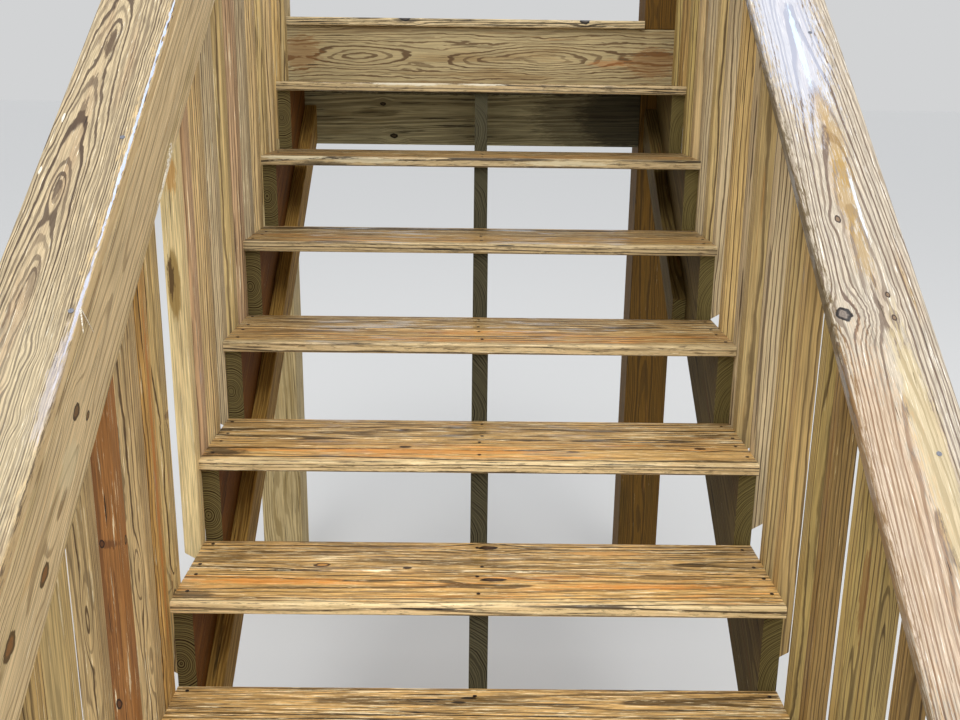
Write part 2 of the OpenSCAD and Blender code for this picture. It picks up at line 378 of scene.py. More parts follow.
@dataclass
class Weave:
    """Draws the wood of one board into its material's node tree.

    Attributes:
        tree: the material's node tree.
        pine: the wood's look.
        grain: how the board was cut.
        turn: lays the board along X.
        shift: follows the turn and puts the heart of the tree on the X axis.
        own: whether place and colour come from the piece's own attributes.
        colour: what is painted so far.
        film: how much water stands on each point.
        knotted: each knot with the masks of all of it and of the wood inside its bark.
        seat: every point's place on the stairs.
        place: every point's place in the tree that the board was cut from.
    """

    tree: bpy.types.NodeTree
    pine: Pine
    grain: Grain
    turn: Matrix
    shift: Vector
    own: bool
    colour: Feed = field(init=False)
    film: Feed = field(init=False, default=0.0)
    knotted: list[tuple[Knot, Socket, Socket]] = field(init=False, default_factory=list)
    seat: Socket = field(init=False)
    place: Socket = field(init=False)

    def __post_init__(self) -> None:
        """Starts with the soft wood's colour and finds every point's place in the tree."""
        self.colour = linear(self.pine.early)
        self.seat = add(self.tree, "TexCoord", {}, out="Object")
        if self.own:
            self.place = add(self.tree, "Attribute", {}, out="Vector", attribute_name="board_place")
        else:
            move = {0: self.seat, 1: tuple(self.shift), 2: tuple(self.turn.to_euler())}
            self.place = add(self.tree, "Mapping", move)

    def at(self, spot: Spot) -> Vector:
        """Turns a spot on the board into its place in the tree."""
        return Vector(spot) if self.own else self.turn @ Vector(spot) + self.shift

    def reach(self, spot: Spot, size: tuple[float, float]) -> Socket:
        """Measures how far off a spot each point is.

        Args:
            spot: the spot, in the row frame.
            size: what counts as one, along the board and across it, in metres.

        Returns:
            The distance as a share of the size.
        """
        length, width = size
        # The heart may leave the board at an angle, but marks lie along the board.
        tilt = 0.0 if self.own else self.grain.tilt
        feeds = {0: self.place, 1: tuple(self.at(spot)), 2: (0.0, tilt, 0.0), 3: (length, width, width)}
        off = add(self.tree, "Mapping", feeds, vector_type="TEXTURE")
        return add(self.tree, "VectorMath", {0: off}, out="Value", operation="LENGTH")

    def noise(self, pattern: Pattern) -> Socket:
        """Adds a pattern's noise, in a place of the board's own.

        Args:
            pattern: the pattern.

        Returns:
            The noise.
        """
        length, width = pattern.cell
        scale = (1 / length, 1 / width, 1 / width)
        # Odd factors, so that no two boards or patterns read the same stretch of noise.
        seed, offset = self.grain.seed, pattern.offset
        apart = (seed * 3.7 + offset * 11.3, seed * 1.9 - offset * 7.1, offset * 5.3)
        spread = add(self.tree, "VectorMath", {0: self.place, 1: scale, 2: apart}, operation="MULTIPLY_ADD")
        return add(self.tree, "TexNoise", {0: spread, 2: 1.0, 3: pattern.detail, 4: pattern.rough})

    def patch(self, pattern: Pattern, share: float) -> Socket:
        """Adds the mask of a pattern's patches.

        Args:
            pattern: the pattern.
            share: about how much of the board they cover.

        Returns:
            The mask, one inside the patches.
        """
        value = self.noise(pattern)
        low = NOISE_HIGH - (NOISE_HIGH - NOISE_LOW) * share
        return add(self.tree, "MapRange", {0: value, 1: low, 2: low + pattern.soft}, **SMOOTH)

    def lay(self, tone: Feed | str, mask: Feed, strength: float = 1.0, kind: str = "MIX") -> None:
        """Lays a colour over the wood's colour.

        Args:
            tone: the new colour, as a socket, a linear colour or six hex digits.
            mask: where it lies.
            strength: how far it hides what is under it.
            kind: how the two are put together.
        """
        share = mask
        if strength != 1.0:
            share = add(self.tree, "Math", {0: mask, 1: strength}, operation="MULTIPLY")
        over = linear(tone) if isinstance(tone, str) else tone
        feeds = {0: share, 6: self.colour, 7: over}
        self.colour = add(self.tree, "Mix", feeds, out=2, data_type="RGBA", blend_type=kind)

    def knots(self) -> Socket:
        """Pushes the rings aside around the knots and keeps the knots' masks for later.

        Returns:
            The bent place.
        """
        tree, bent = self.tree, self.place
        for knot in self.grain.knots:
            size = knot.radius
            off = add(tree, "VectorMath", {0: self.place, 1: tuple(self.at(knot.spot))}, operation="SUBTRACT")
            flat = add(tree, "VectorMath", {0: off, 1: (1 / knot.stretch, 1.0, 1.0)}, operation="MULTIPLY")
            # Waves of 11 mm keep the knot from being a true oval.
            wobble = add(tree, "TexNoise", {0: flat, 2: 90.0, 3: 2.0})
            reach = add(tree, "VectorMath", {0: flat}, out="Value", operation="LENGTH")
            far = add(tree, "Math", {0: wobble, 1: size * 0.9, 2: reach}, operation="MULTIPLY_ADD")
            # The rings are swept aside, less and less, out to about five times its radius.
            sweep = {0: far, 1: size * 0.9, 2: size * 5.5, 3: -0.92, 4: 0.0}
            push = add(tree, "MapRange", sweep, **SMOOTH)
            shove = add(tree, "VectorMath", {0: off, 1: (0.0, 1.0, 1.0)}, operation="MULTIPLY")
            shove = add(tree, "VectorMath", {0: shove, 3: push}, operation="SCALE")
            bent = add(tree, "VectorMath", {0: bent, 1: shove}, operation="ADD")
            body = add(tree, "MapRange", {0: far, 1: size * 1.5, 2: size * 1.35}, **SMOOTH)
            # The branch has about two rings of its own inside the bark.
            years = add(tree, "Math", {0: far, 1: 3.2 / size}, operation="MULTIPLY")
            years = add(tree, "Math", {0: years}, operation="FRACT")
            years = add(tree, "Math", {0: years, 1: 0.45, 2: 0.55}, operation="MULTIPLY_ADD")
            inner = add(tree, "MapRange", {0: far, 1: size * 1.15, 2: size * 0.9}, **SMOOTH)
            inner = add(tree, "Math", {0: inner, 1: years}, operation="MULTIPLY")
            self.knotted.append((knot, body, inner))
        return bent

    def rings(self, bent: Socket) -> Socket:
        """Draws the year rings: a soft start, a sharp stop, and some years stronger than others.

        Args:
            bent: the place after the knots.

        Returns:
            How hard the wood is at each point.
        """
        tree, bend = self.tree, self.grain.bend
        wave = bend * self.grain.curl
        bent = add(tree, "VectorMath", {0: bent, 1: (0.0, 1.0, 1.0)}, operation="MULTIPLY")
        radius = add(tree, "VectorMath", {0: bent}, out="Value", operation="LENGTH")
        for swell in self.grain.swells:
            reach = self.reach(swell.spot, swell.size)
            bulge = add(tree, "MapRange", {0: reach, 3: swell.rise, 4: 0.0}, **SMOOTH)
            radius = add(tree, "Math", {0: radius, 1: bulge}, operation="SUBTRACT")
        for pattern, strength in ((SWEEP, bend * 4), (WAVES, wave / 3), (RIPPLES, wave / 14)):
            feeds = {0: self.noise(pattern), 1: strength, 2: radius}
            radius = add(tree, "Math", feeds, operation="MULTIPLY_ADD")
        years = add(tree, "Math", {0: radius, 1: 1 / self.grain.ring}, operation="MULTIPLY")
        # Good and bad years come in runs of about three and shift the count by up to two years.
        uneven = add(tree, "TexNoise", {1: years, 2: 0.35, 3: 1.0}, noise_dimensions="1D")
        years = add(tree, "Math", {0: uneven, 1: 1.8, 2: years}, operation="MULTIPLY_ADD")
        season = add(tree, "Math", {0: years}, operation="FRACT")
        year = add(tree, "Math", {0: years}, operation="FLOOR")
        strength = add(tree, "TexWhiteNoise", {1: year}, noise_dimensions="1D")
        strength = add(tree, "MapRange", {0: strength, 3: 0.45, 4: 1.0})
        # The hard wood comes in gently from summer on and stops with the last weeks of the year.
        summer = 1.0 - self.pine.band
        grow = add(tree, "MapRange", {0: season, 1: summer - 0.12, 2: summer + 0.06}, **SMOOTH)
        stop = add(tree, "MapRange", {0: season, 1: 0.93, 2: 1.0, 3: 1.0, 4: 0.0}, **SMOOTH)
        hard = add(tree, "Math", {0: grow, 1: stop}, operation="MULTIPLY")
        return add(tree, "Math", {0: hard, 1: strength}, operation="MULTIPLY")

    def wear(self, front: float, fibre: Socket) -> None:
        """Bleaches the front edge of a tread, which use has worn to bare fibres.

        Args:
            front: y of the front edge.
            fibre: the single fibres.
        """
        tree, between_fibres, pitted = self.tree, "a88c55", "4e3a1b"
        depth = add(tree, "SeparateXYZ", {0: self.seat}, out="Y")
        depth = add(tree, "Math", {0: depth, 1: front}, operation="SUBTRACT")
        # The noise lies about a half, which takes 42 mm off the depth, so the worn strip is some 17 mm deep.
        ragged = self.noise(TRODDEN)
        depth = add(tree, "Math", {0: ragged, 1: -0.085, 2: depth}, operation="MULTIPLY_ADD")
        bare = add(tree, "MapRange", {0: depth, 1: -0.036, 2: -0.014, 3: 0.85, 4: 0.0}, **SMOOTH)
        tones = {0: fibre, 6: linear(between_fibres), 7: linear(self.pine.pale)}
        self.lay(add(tree, "Mix", tones, out=2, data_type="RGBA"), bare)
        pits = add(tree, "Math", {0: self.patch(PITS, 0.36), 1: bare}, operation="MULTIPLY")
        self.lay(pitted, pits, PITS.hides)

    def lay_mark_or_painted_light(self, mark: Mark, ragged: Socket) -> None:
        """Adds one of the board's own stains, chips or wet streaks, or a painted highlight, reflection or
        shadow.

        Args:
            mark: what it is and where.
            ragged: what its border wanders by.
        """
        tree, edge = self.tree, mark.ragged + 1.0
        feeds = {0: ragged, 1: mark.ragged * 2, 2: self.reach(mark.spot, mark.size)}
        reach = add(tree, "Math", feeds, operation="MULTIPLY_ADD")
        mask = add(tree, "MapRange", {0: reach, 1: edge - 0.3, 2: edge, 3: 1.0, 4: 0.0}, **SMOOTH)
        self.lay(mark.tone, mask, mark.share)
        if mark.wet:
            pooled = add(tree, "Math", {0: mask, 1: mark.wet}, operation="MULTIPLY")
            self.film = add(tree, "Math", {0: self.film, 1: pooled}, operation="MAXIMUM")

    def wood(self, front: float | None) -> tuple[Socket, Socket, Socket]:
        """Paints the board's long faces: rings, drifts of colour, threads, wear, damp and cracks.

        Args:
            front: y of a worn front edge, or None where there is none.

        Returns:
            Where the wood is hard, where single fibres stand out, and where it is cracked.
        """
        tree, pine = self.tree, self.pine
        hard = self.rings(self.knots())
        fibre = self.noise(FIBRES.wider(pine.coarse))
        drift = DRIFT.hides
        if self.own:
            self.colour = add(tree, "Attribute", {}, out="Color", attribute_name="board_tone")
            faint = add(tree, "Attribute", {}, out="Alpha", attribute_name="board_tone")
            hard = add(tree, "Math", {0: hard, 1: faint}, operation="MULTIPLY")
            # Boards with a colour of their own drift less, so that they keep it.
            drift = 0.35
        self.lay(pine.early_alt, self.patch(DRIFT, 0.5), drift)
        self.lay(pine.warm, self.patch(RESIN, pine.warmth), RESIN.hides)
        self.lay(pine.pale, self.patch(THREADS.wider(pine.coarse), pine.streaked), THREADS.hides)
        thread = {0: fibre, 1: 0.36, 2: 0.64, 3: 1 - pine.fibre, 4: 1 + pine.fibre * 0.6}
        thread = add(tree, "MapRange", thread)
        self.lay(add(tree, "CombineColor", {0: thread, 1: thread, 2: thread}), 1.0, kind="MULTIPLY")
        if front is not None:
            self.wear(front, fibre)
        self.lay(pine.late, hard, pine.contrast)
        self.lay(pine.stain, self.patch(DAMP, pine.stained), DAMP.hides)
        crack = self.patch(CRACKS.wider(pine.coarse), pine.cracked)
        self.lay(CRACK_TONE, crack)
        if pine.worn:
            torn = self.noise(TORN.wider(pine.coarse))
            for tone, edge, full in ((pine.pale, 0.40, 0.35), (pine.stain, 0.59, 0.64)):
                self.lay(tone, add(tree, "MapRange", {0: torn, 1: edge, 2: full}), pine.worn)
        return hard, fibre, crack

    def lay_marks_and_painted_light(self) -> None:
        """Lays water, the board's own marks with their painted highlights, reflections and shadows, and its
        knots over the wood.
        """
        self.film = self.patch(WATER, self.pine.wet)
        if self.grain.marks:
            ragged = self.noise(BORDERS)
            for mark in self.grain.marks:
                self.lay_mark_or_painted_light(mark, ragged)
        for knot, body, inner in self.knotted:
            tones = {0: inner, 6: linear(knot.rim), 7: linear(knot.heart)}
            self.lay(add(self.tree, "Mix", tones, out=2, data_type="RGBA"), body)

    def ends(self, hard: Socket) -> None:
        """Paints the cut ends, which show the same rings, darker, and no long fibres.

        Args:
            hard: where the wood is hard.
        """
        tree, pine = self.tree, self.pine
        facing = add(tree, "TexCoord", {}, out="Normal")
        cut = add(tree, "Mapping", {0: facing, 2: tuple(self.turn.to_euler())}, vector_type="VECTOR")
        cut = add(tree, "SeparateXYZ", {0: cut}, out="X")
        cut = add(tree, "Math", {0: cut}, operation="ABSOLUTE")
        # A face counts as an end once it is turned within 45 degrees of the grain.
        cut = add(tree, "MapRange", {0: cut, 1: 0.7, 2: 0.8})
        tones = {0: hard, 6: linear(pine.end), 7: linear(pine.late)}
        self.lay(add(tree, "Mix", tones, out=2, data_type="RGBA"), cut)

    def draw(self, front: float | None) -> None:
        """Puts all layers together and feeds them to the shader.

        Args:
            front: y of a worn front edge, or None where there is none.
        """
        tree, pine, fade = self.tree, self.pine, self.grain.fade
        shader = tree.nodes["Principled BSDF"]
        hard, fibre, crack = self.wood(front)
        self.lay_marks_and_painted_light()
        # Painted light and shade: the board's whole colour is made lighter or darker by this factor.
        if fade != 1.0:
            self.lay((fade, fade, fade, 1.0), 1.0, kind="MULTIPLY")
        self.ends(hard)
        # Water fills the pores: wet places are smoother and carry a clear coat.
        gloss = add(tree, "MapRange", {0: self.film, 3: pine.rough, 4: pine.rough * 0.6})
        height = add(tree, "Math", {0: fibre, 1: 0.5, 2: hard}, operation="MULTIPLY_ADD")
        height = add(tree, "Math", {0: crack, 1: -1.2, 2: height}, operation="MULTIPLY_ADD")
        bump = add(tree, "Bump", {"Strength": 0.8, "Distance": pine.relief, "Height": height})
        for feed, name in ((self.colour, "Base Color"), (gloss, "Roughness"), (self.film, "Coat Weight"),
                           (bump, "Normal"), (bump, "Coat Normal")):
            tree.links.new(feed, shader.inputs[name])
        # Wood's cell walls have an index of about 1.5, and water one of 1.33.
        shader.inputs["IOR"].default_value = 1.5
        shader.inputs["Specular IOR Level"].default_value = pine.shine
        shader.inputs["Coat Roughness"].default_value = 0.15
        shader.inputs["Coat IOR"].default_value = 1.33


# Decking in the rain: brown and orange boards, streaked dark and cream, with cracks and wet glints.
DECKING = Pine(
    early="b8935a", early_alt="9a7a4c", late="302008", warm="cc8e48", stain="32220f", pale="f8e6ba",
    end="8b7248", contrast=0.95, band=0.30, warmth=0.18, streaked=0.36, stained=0.34, cracked=0.24, wet=0.4,
    rough=0.5, fibre=0.6, worn=0.75, coarse=1.7)
# The front boards: more orange where resin came up, and bleached to cream where they are stepped on.
DECKING_FRONT = replace(
    DECKING, early="c29a5c", early_alt="a8814c", warm="d08d44", pale="f5dfb0", warmth=0.5, streaked=0.28,
    stained=0.18, cracked=0.12)
# Framing under the treads: damp, dark and greenish; the dark is partly painted shade, for the shade that it
# lies in there, so that it stays behind the treads.
FRAMING = Pine(
    early="6b5930", early_alt="5c4a26", late="33240f", warm="6b4420", stain="1f170c", end="786c40",
    contrast=0.8, warmth=0.3, stained=0.3, wet=0.0, rough=0.8, shine=0.15)
# The left stringer took more preservative: deep red-brown faces, and fine even rings on the notches.
STRINGER_LEFT = replace(
    FRAMING, early="80501a", early_alt="644010", late="241305", warm="96581c", end="756a42")
# The middle stringer is seen on its cut notches only: grey, with tilted dark lines.
STRINGER_CENTRE = replace(FRAMING, end="55523f", late="1c1911")
# The strip on the left stringer: lighter and more yellow than what it is screwed to.
STIFFENER_LEFT = replace(FRAMING, early="ae8844", early_alt="98763a", late="5c4018", pale="c0a060")
# The header under the deck: grey-olive, with mould where water runs off the deck; painted light: its colour
# is made lighter than the wood's, for the light that reaches it from behind and below.
HEADER = Pine(
    early="b8ae84", early_alt="9c9068", late="5c5032", stain="2b261c", pale="c8bc98", end="5a4c30",
    warmth=0.0, streaked=0.12, stained=0.35, cracked=0.08, wet=0.1, rough=0.7, shine=0.2, fibre=0.4)
# The rim is flat-sawn and sheltered: golden tan with brown ovals and wandering lines.
RIM = Pine(
    early="b6a478", early_alt="9c8458", late="54391a", warm="a87438", stain="5a3c1c", end="8b7248",
    contrast=0.9, band=0.36, warmth=0.25, stained=0.1, cracked=0.04, wet=0.1, coarse=1.6)
# Square posts, sawn and left to the weather: dull, with long lines and no gloss.
POSTS = Pine(
    early="a88e5e", early_alt="9a7e50", late="5c4420", stain="33240f", end="6b5430", stained=0.2, wet=0.05,
    rough=0.7, shine=0.2)
# Painted light: a lighter copy of the posts' wood for the left post, which stands in the light.
POST_LEFT_PAINTED_LIGHT = replace(POSTS, early="c8b282", early_alt="b49c6a", late="7a6436", stained=0.08, warmth=0.02)
# Painted shade: a darker copy of the posts' wood for the right post, which stands in shadow.
POST_RIGHT_PAINTED_SHADE = replace(POSTS, early="6e4e18", early_alt="624818", late="3e2c10")
# The left cap lies in the open: cream soft wood, worn down between grey-brown ridges that curl.
LEFT_CAP = Pine(
    early="baa682", early_alt="a68c6a", late="402c1c", warm="c0a068", stain="6a583e", pale="f8ecd0",
    end="a08a66", contrast=0.95, band=0.44, warmth=0.15, streaked=0.25, stained=0.18, cracked=0.0, wet=0.25,
    relief=0.0009, fibre=0.35)
# The right cap is the palest wood: cream and brown-pink lines, a golden middle, and a film of water on top.
RIGHT_CAP = Pine(
    early="c0b29c", early_alt="b8a48c", late="5c4434", warm="b08c4c", stain="8a7458", pale="fbf4e6",
    end="a08a66", contrast=0.9, band=0.38, warmth=0.15, streaked=0.28, stained=0.12, cracked=0.0, wet=0.5,
    relief=0.0009, fibre=0.35)
# The lower rail board is sheltered by the cap: smooth, pale olive-tan, with clear lines and oval brown knots.
SUB_RAIL = Pine(
    early="d6bc8e", early_alt="bea676", late="66491f", warm="c89a58", stain="7a6a4a", pale="f8eac6",
    end="8a7550", contrast=0.78, band=0.24, warmth=0.2, streaked=0.24, stained=0.06, wet=0.15, fibre=0.35)
# Fibres torn out of the left rail: white, dry and dull, where the cap is wet and brown.
TORN_WOOD = replace(LEFT_CAP, early="f6f0e0", early_alt="e6dcc4", late="c8b490", stained=0.0, wet=0.0)
# Balusters: narrow sticks of many trees, tan to russet, with thin dark lines and long cream threads.
BALUSTER_LEFT = Pine(
    early="c8aa7c", early_alt="a4865c", late="3c240e", warm="b87c44", stain="5c4022", pale="fcecc2",
    end="8b7248", contrast=0.95, band=0.26, warmth=0.12, streaked=0.26, stained=0.02, cracked=0.01, wet=0.1,
    shine=0.3, fibre=0.4, coarse=1.3)
BALUSTER_RIGHT = replace(
    BALUSTER_LEFT, early_alt="98794a", late="3a240c", warm="b0803e", pale="eed8a0", contrast=0.85,
    streaked=0.18, fibre=0.32)


def bare_steel(name: str, dark: str, light: str) -> bpy.types.Material:
    """Makes weathered fastener steel: grey or brown, mottled, with a soft glint on each rim.

    Args:
        name: the material's name.
        dark: its darker tone.
        light: its lighter tone.

    Returns:
        The new material.
    """
    material = bpy.data.materials.new(name)
    material.use_nodes = True
    tree = material.node_tree
    shader = tree.nodes["Principled BSDF"]
    # Blotches of about 3 mm, coarser than real rust, so that they show on a head.
    mottle = add(tree, "TexNoise", {0: add(tree, "TexCoord", {}, out="Object"), 2: 300.0, 3: 2.0})
    colour = add(tree, "Mix", {0: mottle, 6: linear(dark), 7: linear(light)}, out=2, data_type="RGBA")
    tree.links.new(colour, shader.inputs["Base Color"])
    shader.inputs["Metallic"].default_value = 0.6
    shader.inputs["Roughness"].default_value = 0.45
    return material


def middle(node: str) -> Vector:
    """Gives the centre of a CAD node's box."""
    low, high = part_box(node)
    return (low + high) / 2


def clothe(piece: bpy.types.Object, material: bpy.types.Material) -> None:
    """Puts one material on a piece, in place of what it had."""
    piece.data.materials.clear()
    piece.data.materials.append(material)


def place_on(mesh: bmesh.types.BMesh, name: str, body: str = "root") -> bpy.types.Object:
    """Makes a piece of a finished bmesh and lets it ride.

    Args:
        mesh: the finished shape, freed here.
        name: the piece's name.
        body: the CAD body that it rides on.

    Returns:
        The new object.
    """
    data = bpy.data.meshes.new(name)
    mesh.to_mesh(data)
    mesh.free()
    piece = bpy.data.objects.new(name, data)
    bpy.context.scene.collection.objects.link(piece)
    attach(piece, body)
    return piece


def eased(node: bpy.types.Object, radius: float, segments: int = 2) -> bmesh.types.BMesh:
    """Copies a CAD node's shape and rounds its sharp edges, as planed lumber has them.

    Args:
        node: the CAD node's object.
        radius: how far in the rounding reaches, in metres.
        segments: faces across the rounding.

    Returns:
        The rounded shape.
    """
    same_spot, same_plane, edge_angle = 1e-5, math.radians(1), math.radians(30)
    mesh = bmesh.new()
    mesh.from_mesh(node.data)
    bmesh.ops.remove_doubles(mesh, verts=mesh.verts, dist=same_spot)
    bmesh.ops.dissolve_limit(mesh, angle_limit=same_plane, verts=mesh.verts, edges=mesh.edges)
    sharp = [e for e in mesh.edges if e.is_manifold and e.calc_face_angle(0.0) > edge_angle]
    bmesh.ops.bevel(mesh, geom=sharp, offset=radius, offset_type="OFFSET", segments=segments, profile=0.5,
                    affect="EDGES", material=-1, clamp_overlap=True)
    return mesh


@dataclass
class Camera:
    """The photograph's viewpoint: standing eye height in front of the stairs, looking down the lower steps.

    Attributes:
        spot: where the lens is, from the top tread's front, in metres.
        turn: its pitch, roll and yaw, in degrees.
        focal_px: focal length, in pixels of the photograph.
        width_px: width of the photograph, in pixels.
        sensor: width of the sensor, in millimetres.
        nearest: closer things aren't drawn, in metres.
    """

    spot: Spot = (-0.01724, -3.15268, 0.02681)
    turn: tuple[float, float, float] = (-15.508, -0.7093, -0.4153)
    focal_px: float = 1028.92
    width_px: float = 960.0
    sensor: float = 36.0
    nearest: float = 0.01

    def build(self) -> None:
        """Makes the camera and hands it to the scene."""
        pitch, roll, yaw = (math.radians(a) for a in self.turn)
        turn = Matrix.Rotation(yaw, 3, "Z") @ Matrix.Rotation(pitch, 3, "X") @ Matrix.Rotation(roll, 3, "Y")
        facing = turn @ Matrix.Rotation(math.radians(90), 3, "X")
        lens = bpy.data.cameras.new("camera")
        lens.sensor_width = self.sensor
        lens.lens = self.focal_px / self.width_px * self.sensor
        lens.clip_start = self.nearest
        camera = bpy.data.objects.new("camera", lens)
        camera.matrix_world = Matrix.Translation(Vector(self.spot) + TOP_TREAD_FRONT) @ facing.to_4x4()
        bpy.context.scene.collection.objects.link(camera)
        bpy.context.scene.camera = camera


@dataclass
class Stage:
    """Plain pale floor and soft overcast light.

    Attributes:
        floor_size: side of the square floor, in metres.
        floor_tone: colour of its paint.
        backdrop: what the camera and all gloss see behind the stairs.
        sky_tone: colour of the light from all round.
        sky: strength of that light.
        overhead: power of the lamp, in watts.
        lamp_size: its length and width, in metres.
        lamp_spot: where it hangs, in metres.
        lamp_aim: where it points, in metres.
    """

    floor_size: float = 120.0
    floor_tone: str = "e4e3e0"
    backdrop: str = "d2d3d4"
    sky_tone: str = "f2f5fa"
    sky: float = 0.9
    overhead: float = 230.0
    lamp_size: tuple[float, float] = (5.0, 4.0)
    lamp_spot: Spot = (0.0, -2.6, 5.6)
    lamp_aim: Spot = (0.0, 0.3, 1.2)

    def build(self) -> None:
        """Lays the floor, closes the sky and hangs the lamp."""
        self.lay_floor()
        self.close_sky()
        self.hang_lamp()
        bpy.context.scene.view_settings.view_transform = "Standard"

    def lay_floor(self) -> None:
        """Makes the floor and paints it, matt and pale."""
        mesh = bmesh.new()
        bmesh.ops.create_grid(mesh, x_segments=1, y_segments=1, size=self.floor_size / 2)
        data = bpy.data.meshes.new("floor")
        mesh.to_mesh(data)
        mesh.free()
        floor = bpy.data.objects.new("floor", data)
        bpy.context.scene.collection.objects.link(floor)
        paint = bpy.data.materials.new("matt_floor_paint")
        paint.use_nodes = True
        shader = paint.node_tree.nodes["Principled BSDF"]
        shader.inputs["Base Color"].default_value = linear(self.floor_tone)
        shader.inputs["Roughness"].default_value = 0.9
        clothe(floor, paint)

    def close_sky(self) -> None:
        """Shows the camera and all gloss a plain backdrop in the floor's shade; the sky only gives light."""
        world = bpy.data.worlds.new("overcast")
        bpy.context.scene.world = world
        world.use_nodes = True
        tree = world.node_tree
        seen: Feed = 0.0
        for ray in ("Is Camera Ray", "Is Glossy Ray", "Is Transmission Ray"):
            seen = add(tree, "Math", {0: add(tree, "LightPath", {}, out=ray), 1: seen}, operation="MAXIMUM")
        tones = {0: seen, 6: linear(self.sky_tone), 7: linear(self.backdrop)}
        shade = add(tree, "Mix", tones, out=2, data_type="RGBA")
        power = add(tree, "MapRange", {0: seen, 3: self.sky, 4: 1.0})
        tree.links.new(shade, tree.nodes["Background"].inputs["Color"])
        tree.links.new(power, tree.nodes["Background"].inputs["Strength"])

    def hang_lamp(self) -> None:
        """Hangs one large soft lamp over the foot of the stairs."""
        lamp = bpy.data.lights.new("overhead", "AREA")
        lamp.shape = "RECTANGLE"
        lamp.size, lamp.size_y = self.lamp_size
        lamp.energy = self.overhead
        hung = bpy.data.objects.new("overhead", lamp)
        spot = Vector(self.lamp_spot)
        aim = (Vector(self.lamp_aim) - spot).to_track_quat("-Z", "Y")
        hung.matrix_world = Matrix.Translation(spot) @ aim.to_matrix().to_4x4()
        bpy.context.scene.collection.objects.link(hung)


@dataclass
class Planks:
    """A group of CAD boards whose shape is right: they keep it and get their wood.

    Attributes:
        finish: the wood's look.
        grains: how each board was cut, by node.
        worn_front: the boards whose front edge is worn pale.
    """

    finish: Pine
    grains: dict[str, Grain] = field(default_factory=dict)
    worn_front: tuple[str, ...] = ()

    def build(self, nodes: dict[str, bpy.types.Object]) -> None:
        """Dresses each board.

        Args:
            nodes: the frame's objects by name.
        """
        for name, grain in self.grains.items():
            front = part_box(name)[0].y if name in self.worn_front else None
            clothe(nodes[name], self.finish.dress("wet_pine_" + name, grain, middle(name), front))
            LOG.info("dressed %s", name)


@dataclass
class EasedTimbers:
    """Planed lumber: the CAD shape with its long edges rounded over.

    Attributes:
        finish: the wood's look.
        slot: the record's slot.
        grains: how each timber was cut, by node.
        radius: how far in the edges are rounded, in metres.
    """

    finish: Pine
    slot: str
    # slot: not used.
    grains: dict[str, Grain] = field(default_factory=dict)
    radius: float = 0.003

    def build(self, nodes: dict[str, bpy.types.Object]) -> None:
        """Rounds and dresses each timber.

        Args:
            nodes: the frame's objects by name.
        """
        for name, grain in self.grains.items():
            piece = place_on(eased(nodes[name], self.radius), name + "_planed")
            clothe(piece, self.finish.dress("planed_pine_" + name, grain, middle(name)))
            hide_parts(name)
            LOG.info("planed %s", name)


class Tint(Enum):
    """Colours that the balusters of one rail differ by."""

    TAN = "caac78"
    PALE = "ecd298"
    RUSSET = "9e6a36"
    AMBER = "c89c58"
    STRAW = "c9ad74"
    HONEY = "ceac6e"
    ROSE = "c8a47c"
    OLIVE = "b69c5e"
    BROWN = "a2824a"
    MOSS = "c6b088"


